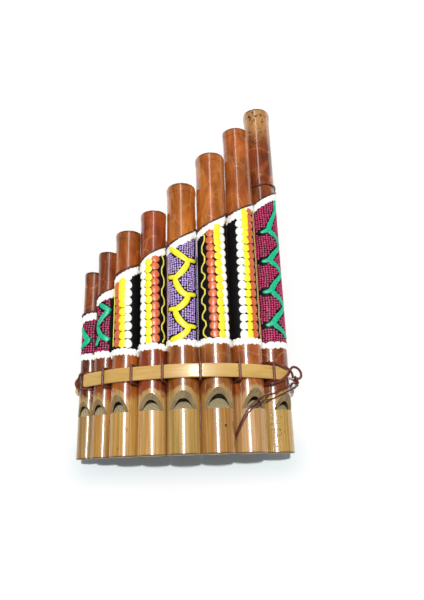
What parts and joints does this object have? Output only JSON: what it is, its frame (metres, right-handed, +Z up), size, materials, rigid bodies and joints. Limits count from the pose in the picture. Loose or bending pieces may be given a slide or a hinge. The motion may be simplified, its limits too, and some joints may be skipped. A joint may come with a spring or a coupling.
{
  "type": "pan flute",
  "caption": "Bamboo whistle pan flute: a graded, arched row of closed pipes with fipple plugs, held by split-bamboo strips and waxed cord lashings, with a loose hanging loop.",
  "frame": {"origin": "centre of the footprint of the flute lying on its back, on the table it rests on", "axes": "+X from the shortest pipe to the longest, +Y along the pipes from the mouth ends to the closed ends, +Z up out of the decorated face"},
  "size_m": [0.1176, 0.196, 0.0395],
  "materials": {
    "bamboo": "glossy lacquer over bamboo",
    "plug_wood": "raw, matt",
    "split_bamboo": "satin split bamboo",
    "waxed_cord": "waxed twisted cord"
  },
  "bodies": {
    "lashed_pipes": {"pipe_1": "bamboo", "pipe_2": "bamboo", "pipe_3": "bamboo", "pipe_4": "bamboo", "pipe_5": "bamboo", "pipe_6": "bamboo", "pipe_7": "bamboo", "pipe_8": "bamboo", "plug_1": "plug_wood", "plug_2": "plug_wood", "plug_3": "plug_wood", "plug_4": "plug_wood", "plug_5": "plug_wood", "plug_6": "plug_wood", "plug_7": "plug_wood", "plug_8": "plug_wood", "front_bar": "split_bamboo", "back_bar": "split_bamboo", "lashing_cord": "waxed_cord", "left_end_wrap": "waxed_cord", "right_end_wrap": "waxed_cord", "cord_knot": "waxed_cord", "upper_cord_a": "waxed_cord", "upper_cord_b": "waxed_cord"},
    "loose_cord": {"hanging_loop": "waxed_cord"}
  },
  "joints": [
    {"name": "loop_lift", "type": "hinge", "parent": "lashed_pipes", "child": "loose_cord", "pos_m": [0.05318, -0.06615, 0.01906], "axis": [-0.695, 0.719, 0], "range_deg": [0, 140]}
  ]
}
